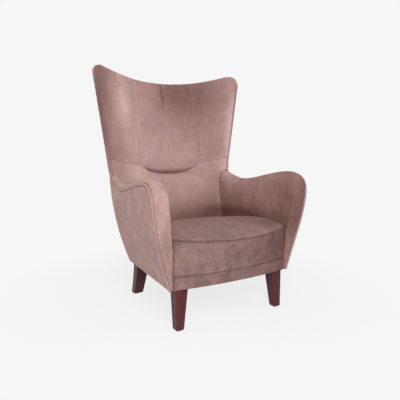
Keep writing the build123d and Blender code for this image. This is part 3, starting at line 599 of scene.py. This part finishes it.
def lumbar_slope(x):
    """How steeply that seam climbs."""
    return 2 * LUMBAR_RISE * x - 4 * LUMBAR_LEVELLING * x**3


def between_seams(points, normals):
    """Where the upper back is free to swell: in front, between its upright seams."""
    free = facing_front(points, normals)
    for seam in PANEL_SEAMS:
        free = free * ease(np.abs(points[:, 0] - seam), *SEAM_FREE)
    return free


def fill_wings(piece):
    """Plumps each wing between its upright seam and its edge, so that its front rolls over."""
    points = points_of(piece)
    front = facing_front(points, normals_of(piece))
    side = np.abs(points[:, 0])
    edge = WING_EDGE + WING_FLARE * (points[:, 2] - WING_FOOT)
    across = np.clip((side - WING_START) / (edge - WING_START), 0.0, 1.0)
    up = ease(points[:, 2] - lumbar_seam(points[:, 0]), 0.0, WING_GROWTH)
    points[:, 1] -= WING_FILL * np.sin(np.pi * across) * up * front
    place_points(piece, points)


def tuck(piece):
    """Rolls the middle of the upper back over the lumbar cushion, and draws the cushion in under it."""
    points = points_of(piece)
    # the underside of the lip counts as its front
    front = ease(-normals_of(piece)[:, 1], -0.5, 0.2)
    full = np.where(points[:, 0] < 0.0, TUCK_FULL_LEFT, TUCK_FULL_RIGHT)
    middle = (1.0 - ease(np.abs(points[:, 0]), full, TUCK_END)) * front
    above = points[:, 2] - lumbar_seam(points[:, 0])
    rise = np.clip(above, 0.0, None) / TUCK_ROLL
    lip = np.where(above >= 0.0, rise * np.exp(1.0 - rise), 0.0)
    under = np.where(above < 0.0, np.exp(np.clip(above, -1.0, 0.0) / TUCK_FADE), 0.0)
    drop = np.where(above >= 0.0, np.exp(-((above / TUCK_ROLL) ** 2)), 0.0)
    points[:, 1] += middle * (TUCK_UNDER * under - TUCK_LIP * lip)
    points[:, 2] -= middle * TUCK_DROP * drop
    place_points(piece, points)


def press_seams(piece):
    """Presses the upright seams and the gathered crease of the middle one into the upper back."""
    points = points_of(piece)
    front = facing_front(points, normals_of(piece)) > 0.3
    near = np.zeros(len(points), dtype=bool)
    for seam in PANEL_SEAMS:
        near |= np.abs(points[:, 0] - seam) < SEAM_REFINED
    refine_where(piece, near & front)
    points = points_of(piece)
    front = facing_front(points, normals_of(piece))
    depth = np.zeros(len(points))
    for seam, pull in zip(PANEL_SEAMS, SEAM_PULL):
        depth += pull * np.exp(-(((points[:, 0] - seam) / SEAM_GROOVE) ** 2))
    high = ease(points[:, 2], *CREASE_START) * (1.0 - ease(points[:, 2], *CREASE_END))
    crease = points[:, 0] + CREASE_LEAN * ease(points[:, 2], *CREASE_LEANING)
    depth += CREASE_DEPTH * high * np.exp(-((crease / CREASE_WIDTH) ** 2))
    points[:, 1] += depth * front
    place_points(piece, points)


upper_back = pad(
    "upper_back_pad", "upper_back", voxel=0.0038, soft_edge=6, cap=0.008, loose_part=between_seams,
)
fill_wings(upper_back)
tuck(upper_back)
press_seams(upper_back)
paint_shading(upper_back, (
    # painted shade across the whole back, under its top edge and at its upper right
    ((0.0, 0.2, 0.86), (0.40, 0.3, 0.20), -0.06),
    ((0.05, 0.2, 1.01), (0.16, 0.3, 0.12), -0.46),
    ((0.20, 0.2, 1.00), (0.17, 0.3, 0.20), -0.40),
    # painted shade in the gathered crease
    ((-0.008, 0.2, 0.985), (0.007, 0.3, 0.06), -0.35),
    # painted highlight beside the left seam and at the foot of the left wing, painted shade further out at
    # its foot and along its edge
    ((-0.245, 0.2, 0.95), (0.045, 0.3, 0.10), 0.44),
    ((-0.195, 0.2, 0.76), (0.050, 0.3, 0.13), 0.18),
    ((-0.325, 0.2, 0.67), (0.070, 0.3, 0.09), -0.13),
    ((-0.395, 0.2, 0.88), (0.085, 0.3, 0.60), -0.52),
    # painted highlight up the right wing
    ((0.350, 0.2, 0.72), (0.035, 0.3, 0.10), 0.40),
    ((0.368, 0.2, 0.86), (0.035, 0.3, 0.10), 0.40),
    ((0.385, 0.2, 0.98), (0.030, 0.3, 0.07), 0.28),
    # painted shade in the tuck
    ((0.00, 0.2, 0.600), (0.13, 0.3, 0.010), -0.24),
), front_only=True)
dress(upper_back, back_velvet, "velvet", "upper_back_pad")

lumbar = pad(
    "lumbar_pad", "lumbar_cushion", voxel=0.0038, soft_edge=6, cap=0.009, loose_part=facing_front,
)
tuck(lumbar)
paint_shading(lumbar, (
    # painted highlight below the left upright seam and below the right wing, painted shade below the left
    # wing
    ((-0.18, 0.2, 0.62), (0.06, 0.3, 0.09), 0.28),
    ((-0.33, 0.2, 0.63), (0.09, 0.3, 0.10), -0.13),
    ((0.335, 0.2, 0.63), (0.05, 0.3, 0.07), 0.42),
    # painted shade down towards the seat
    ((0.10, 0.2, 0.40), (0.30, 0.3, 0.06), -0.20),
    ((0.12, 0.2, 0.342), (0.45, 0.3, 0.043), -0.48),
    ((0.27, 0.2, 0.385), (0.13, 0.3, 0.035), -0.40),
    # painted shade at the left end and in the tuck
    ((-0.37, 0.2, 0.65), (0.05, 0.3, 0.10), -0.30),
    ((0.00, 0.2, 0.592), (0.13, 0.3, 0.010), -0.28),
))
dress(lumbar, back_velvet, "velvet", "lumbar_pad")


# Seat

def pinch(piece):
    """A small dimple where the seat's cover is caught down."""
    points = points_of(piece)
    near = np.linalg.norm(points[:, :2] - np.array(PINCH_PLACE), axis=1)
    up = facing_up(points, normals_of(piece))
    points[:, 2] -= PINCH_DEPTH * np.exp(-((near / PINCH_REACH) ** 2)) * up
    place_points(piece, points)


def round_corners(piece):
    """Draws the front corners of the seat back into a round."""
    points = points_of(piece)
    corner = LOW_CORNER + (TOP_CORNER - LOW_CORNER) * ease(points[:, 2], *CORNER_HEIGHTS)
    over = np.clip(np.abs(points[:, 0]) - SEAT_HALF + corner, 0.0, corner)
    front = 1.0 - ease(points[:, 1], *CORNER_STRETCH)
    points[:, 1] += front * (corner - np.sqrt(corner**2 - over**2))
    place_points(piece, points)


seat = pad(
    "seat_cushion", "seat", voxel=0.0040, soft_edge=2, cap=0.008, loose_part=facing_up, loose_from=0.16,
)
pinch(seat)
round_corners(seat)
paint_shading(seat, (
    # painted shade along the back and at the right front corner, painted light in the middle of the front
    ((0.10, 0.10, 0.4), (0.40, 0.10, 0.3), -0.16),
    ((-0.05, -0.25, 0.4), (0.15, 0.10, 0.3), 0.06),
    ((0.22, -0.29, 0.4), (0.09, 0.10, 0.3), -0.24),
))
dress(seat, shaded_seat_velvet, "velvet", "seat_cushion")

front_panel = pad(
    "seat_front_panel", "seat_front", voxel=0.0045, soft_edge=3,
    cap=0.005, loose_part=facing_front, snug=SEWN,
)
round_corners(front_panel)
paint_shading(front_panel, (
    # painted light on the left and painted shade round the right end, with painted shade along its seams
    # too
    ((-0.20, -0.35, 0.28), (0.16, 0.3, 0.10), 0.03),
    ((0.26, -0.35, 0.30), (0.20, 0.3, 0.16), -0.53),
), SEAT_SEAM_SHADE)
dress(front_panel, shaded_seat_velvet, "velvet", "seat_front_panel")

apron = pad("front_apron", "apron", voxel=0.004, soft_edge=3, snug=SEWN)
round_corners(apron)
paint_shading(apron, (
    # painted shade over its whole width and round the right end, and along its seams
    ((0.15, -0.35, 0.20), (0.40, 0.3, 0.10), -0.17),
    ((0.28, -0.33, 0.20), (0.09, 0.3, 0.10), -0.26),
), SEAT_SEAM_SHADE)
dress(apron, shaded_seat_velvet, "velvet", "front_apron")


# Arms, outside panels and welts

def arm_roll(side):
    """Where an arm's cover is free: over its inner face and its roll."""
    def loose_part(points, normals):
        inward = ease(-side * normals[:, 0], 0.3, 0.8)
        return np.clip(inward + facing_up(points, normals), 0.0, 1.0)
    return loose_part


arm_strokes = {
    # painted shade at the foot of the front
    "left": (((-0.30, -0.36, 0.28), (0.10, 0.14, 0.12), -0.16),),
    # painted shade over the whole arm, down its front, then along the seat from back to front, and a
    # painted highlight at the rear top
    "right": (
        ((0.36, -0.10, 0.55), (0.20, 0.40, 0.30), -0.26),
        ((0.34, -0.36, 0.42), (0.15, 0.14, 0.26), -0.52),
        ((0.29, 0.15, 0.36), (0.12, 0.12, 0.045), -0.55),
        ((0.29, -0.06, 0.385), (0.12, 0.20, 0.033), -0.62),
        ((0.29, -0.02, 0.42), (0.12, 0.25, 0.06), -0.18),
        ((0.32, 0.14, 0.63), (0.09, 0.13, 0.07), 0.55),
    ),
}

# painted shade up the left and right wing, and a painted highlight at the foot of the right one
wing_strokes = (
    ((-0.38, 0.2, 0.90), (0.08, 0.1, 0.32), -0.55),
    ((0.38, 0.2, 0.95), (0.08, 0.1, 0.25), -0.20),
    ((0.34, 0.15, 0.66), (0.06, 0.10, 0.08), 0.35),
)


def welt(node, name, voxel, plump, material):
    """A velvet-covered cord, plumped out from its solid by so much."""
    cord = copy_of(node, name)
    finish_with(cord, "REMESH", mode="VOXEL", voxel_size=voxel, use_smooth_shade=True)
    soften(cord, np.ones(len(cord.data.vertices)), times=4)
    place_points(cord, points_of(cord) + normals_of(cord) * plump)
    # painted shade and highlight where the cord runs up the wings
    paint_shading(cord, wing_strokes)
    dress(cord, material, "welt", node)
    return cord


for side, sign in (("left", -1), ("right", 1)):
    arm = pad(
        f"{side}_arm_pad", f"{side}_arm", voxel=0.0045, soft_edge=4,
        cap=0.006, loose_part=arm_roll(sign), snug=SEWN,
    )
    soften(arm, 1.0 - ease(points_of(arm)[:, 1], *ARM_FRONT), ARM_FRONT_ROUNDING)
    # painted shade along the arm's seams, with the arm's own painted shade and highlight
    paint_shading(arm, arm_strokes[side], SEAM_SHADE)
    dress(arm, arm_velvet, "velvet", f"{side}_arm_pad")
    panel = pad(f"{side}_outer_arm_panel", f"{side}_outer_arm", voxel=0.0035, soft_edge=2, snug=SEWN)
    # painted shade along the panel's seams
    paint_shading(panel, (), SEAM_SHADE)
    dress(panel, arm_velvet, "velvet", f"{side}_outer_arm_panel")
    welt(f"{side}_long_welt", f"{side}_welt", voxel=0.0022, plump=0.0010, material=welt_velvet)

outer_back = pad("outer_back_panel", "outer_back", voxel=0.0045, soft_edge=2)
# painted shade along the panel's seams
paint_shading(outer_back, (), SEAM_SHADE)
dress(outer_back, arm_velvet, "velvet", "outer_back_panel")
seat_cord = welt("seat_welt", "seat_cord", voxel=0.0018, plump=0.0, material=shaded_cord_velvet)
round_corners(seat_cord)


# Topstitching: short rounded threads, all copies of one stitch

bpy.ops.object.select_all(action="DESELECT")
bpy.ops.mesh.primitive_uv_sphere_add(segments=6, ring_count=4, radius=1.0, calc_uvs=False)
one_stitch = bpy.context.active_object
one_stitch.scale = STITCH_HALF
bpy.ops.object.transform_apply(location=False, rotation=False, scale=True)
back_fronts = [tree_of([cover.data]) for cover in (upper_back, lumbar)]
stitches = []


def lay_stitch(x, z, run):
    """Lays a copy of the stitch on the front of the back pads, the way its row runs."""
    for front in back_fronts:
        hit, normal, _, _ = front.ray_cast(Vector((x, IN_FRONT, z)), Vector((0, 1, 0)))
        if hit:
            break
    if not hit:
        return
    out = normal.normalized()
    lengthwise = (run - out * run.dot(out)).normalized()
    turn = Matrix((out.cross(lengthwise), out, lengthwise)).transposed().to_4x4()
    stitch = bpy.data.objects.new("topstitching", one_stitch.data.copy())
    stitch.data.transform(Matrix.Translation(hit + out * STITCH_LIFT) @ turn)
    bpy.context.collection.objects.link(stitch)
    stitches.append(stitch)


for seam in PANEL_SEAMS:
    for row in (-UPRIGHT_ROW, UPRIGHT_ROW):
        for z in np.arange(lumbar_seam(seam) + UPRIGHT_ROW_FOOT, UPRIGHT_ROW_TOP, STITCH_STEP):
            lay_stitch(seam + row, z, Vector((0.0, 0.0, 1.0)))
for sign in (-1, 1):
    for x in sign * np.arange(*LUMBAR_ROW_ENDS, STITCH_STEP):
        lay_stitch(x, lumbar_seam(x) - LUMBAR_ROW, Vector((1.0, 0.0, lumbar_slope(x))))
bpy.data.objects.remove(one_stitch)
only(*stitches)
bpy.ops.object.join()
threads = bpy.context.active_object
threads.data.name = "topstitching"
paint_shading(threads, ())
dress(threads, thread, "welt")

# Legs
for node in ("front_left_leg", "front_right_leg", "rear_left_leg", "rear_right_leg"):
    leg = copy_of(node, f"{node}_turned")
    finish_with(leg, "BEVEL", width=LEG_EDGE, segments=3, limit_method="ANGLE", angle_limit=radians(40))
    dress(leg, leg_wood, "stained_wood", node)
    bpy.ops.object.shade_smooth_by_angle(angle=radians(35))


# Lining under the seat: thin black cloth stapled to the rails, which sags a little inside its edge

def cut_rows(piece, axis, count):
    """Cuts a flat piece into rows across one axis, so that it can sag."""
    places = points_of(piece)[:, axis]
    for place in np.linspace(places.min(), places.max(), count + 1)[1:-1]:
        middle = [0.0, 0.0, 0.0]
        across = [0.0, 0.0, 0.0]
        middle[axis] = place
        across[axis] = 1.0
        only(piece)
        bpy.ops.object.mode_set(mode="EDIT")
        bpy.ops.mesh.select_all(action="SELECT")
        bpy.ops.mesh.bisect(plane_co=middle, plane_no=across)
        bpy.ops.object.mode_set(mode="OBJECT")


def distance_from_edge(piece):
    """How far each point of a flat piece is from its cut edge."""
    points = points_of(piece)[:, :2]
    uses = {}
    for face in piece.data.polygons:
        for edge in face.edge_keys:
            uses[edge] = uses.get(edge, 0) + 1
    nearest = np.full(len(points), np.inf)
    for (first, second), count in uses.items():
        if count == 1:
            start = points[first]
            run = points[second] - start
            along = np.clip((points - start) @ run / (run @ run), 0.0, 1.0)
            nearest = np.minimum(nearest, np.linalg.norm(points - start - along[:, None] * run, axis=1))
    return nearest


lining = copy_of("dust_cover", "lining")
below_top = [face.normal.z < 0.9 for face in lining.data.polygons]
select_faces(lining, below_top)
bpy.ops.mesh.delete(type="FACE")
leave_edit_mode()
for axis, count in enumerate(LINING_ROWS):
    cut_rows(lining, axis, count)
cloth = points_of(lining)
inside = ease(distance_from_edge(lining), 0.0, LINING_EDGE)
ripple = np.sin(cloth[:, 0] * LINING_WAVES[0]) * np.cos(cloth[:, 1] * LINING_WAVES[1])
cloth[:, 2] -= inside * (LINING_SAG + LINING_RIPPLE * ripple)
place_points(lining, cloth)
finish_with(lining, "SOLIDIFY", thickness=LINING_THICKNESS, offset=-1.0)
dress(lining, inside_finishes["lining"], "lining", "dust_cover")

# Pieces that stay as built
for node, solid in frame["nodes"].items():
    if slots[node] in inside_finishes:
        solid.data.materials.clear()
        solid.data.materials.append(inside_finishes[slots[node]])


# Floor, backdrop and light

def seen_directly(nodes, links):
    """1 where the floor or backdrop is looked at, mirrored or through glass too, and 0 where it lights."""
    rays = nodes.new("ShaderNodeLightPath").outputs
    seen = rays["Is Camera Ray"]
    for way in ("Is Glossy Ray", "Is Transmission Ray"):
        either = nodes.new("ShaderNodeMath")
        either.operation = "MAXIMUM"
        links.new(seen, either.inputs[0])
        links.new(rays[way], either.inputs[1])
        seen = either.outputs[0]
    return seen


def mix_shaders(nodes, links, factor, first, second):
    mix = nodes.new("ShaderNodeMixShader")
    links.new(factor, mix.inputs[0])
    links.new(first, mix.inputs[1])
    links.new(second, mix.inputs[2])
    return mix.outputs[0]


def floor_finish(name):
    """A pale floor that takes the chair's shadow close by, and is as pale as the backdrop further out."""
    material, nodes, links = node_tree(name)
    nodes.remove(nodes["Principled BSDF"])
    glow = nodes.new("ShaderNodeEmission")
    glow.inputs["Color"].default_value = PALE
    glow.inputs["Strength"].default_value = FLOOR_GLOW
    shade = nodes.new("ShaderNodeBsdfDiffuse")
    shade.inputs["Color"].default_value = FLOOR_SHADE
    close_by = nodes.new("ShaderNodeAddShader")
    links.new(glow.outputs[0], close_by.inputs[0])
    links.new(shade.outputs[0], close_by.inputs[1])
    further_out = nodes.new("ShaderNodeEmission")
    further_out.inputs["Color"].default_value = PALE
    reach = nodes.new("ShaderNodeVectorMath")
    reach.operation = "LENGTH"
    links.new(nodes.new("ShaderNodeTexCoord").outputs["Object"], reach.inputs[0])
    fade = nodes.new("ShaderNodeMapRange")
    fade.interpolation_type = "SMOOTHSTEP"
    fade.inputs["From Min"].default_value = FLOOR_FADE[0]
    fade.inputs["From Max"].default_value = FLOOR_FADE[1]
    links.new(reach.outputs["Value"], fade.inputs["Value"])
    surface = mix_shaders(nodes, links, fade.outputs[0], close_by.outputs[0], further_out.outputs[0])
    bounce = nodes.new("ShaderNodeBsdfDiffuse")
    bounce.inputs["Color"].default_value = FLOOR_BOUNCE
    floor_shader = mix_shaders(nodes, links, seen_directly(nodes, links), bounce.outputs[0], surface)
    links.new(floor_shader, nodes["Material Output"].inputs["Surface"])
    return material


def studio_world(name):
    """A pale backdrop, with a soft light all round."""
    world = bpy.data.worlds.new(name)
    world.use_nodes = True
    nodes = world.node_tree.nodes
    links = world.node_tree.links
    backdrop = nodes.new("ShaderNodeBackground")
    backdrop.inputs["Color"].default_value = PALE
    backdrop.inputs["Strength"].default_value = 1.0
    ambient = nodes["Background"]
    ambient.inputs["Color"].default_value = (1, 1, 1, 1)
    ambient.inputs["Strength"].default_value = AMBIENT
    both = mix_shaders(nodes, links, seen_directly(nodes, links), ambient.outputs[0], backdrop.outputs[0])
    links.new(both, nodes["World Output"].inputs["Surface"])
    return world


def softbox(name, place, aim, size, power):
    lamp = bpy.data.lights.new(name, "AREA")
    lamp.size = size
    lamp.energy = power
    holder = bpy.data.objects.new(name, lamp)
    holder.location = place
    holder.rotation_euler = (Vector(aim) - Vector(place)).to_track_quat("-Z", "Y").to_euler()
    bpy.context.collection.objects.link(holder)


bpy.ops.mesh.primitive_plane_add(size=14.0, location=(0, 0, 0))
floor = bpy.context.active_object
floor.name = "studio_floor"
floor.data.materials.append(floor_finish("studio_floor"))

scene = bpy.context.scene
scene.world = studio_world("studio")
softbox("key_light", place=(-1.3, -3.0, 2.6), aim=(0, 0, 0.6), size=1.4, power=112.0)
softbox("right_fill", place=(2.6, -1.8, 1.7), aim=(0, 0, 0.6), size=1.8, power=26.0)
softbox("left_fill", place=(-3.0, 0.9, 1.5), aim=(0, 0, 0.5), size=1.6, power=30.0)

camera_data = bpy.data.cameras.new("camera")
camera_data.sensor_width = 36.0
camera_data.lens = 38.7
camera = bpy.data.objects.new("camera", camera_data)
camera.location = CAMERA_PLACE
camera.rotation_euler = (radians(90 - CAMERA_TILT), 0, radians(-CAMERA_TURN))
bpy.context.collection.objects.link(camera)
scene.camera = camera
scene.view_settings.view_transform = "Standard"
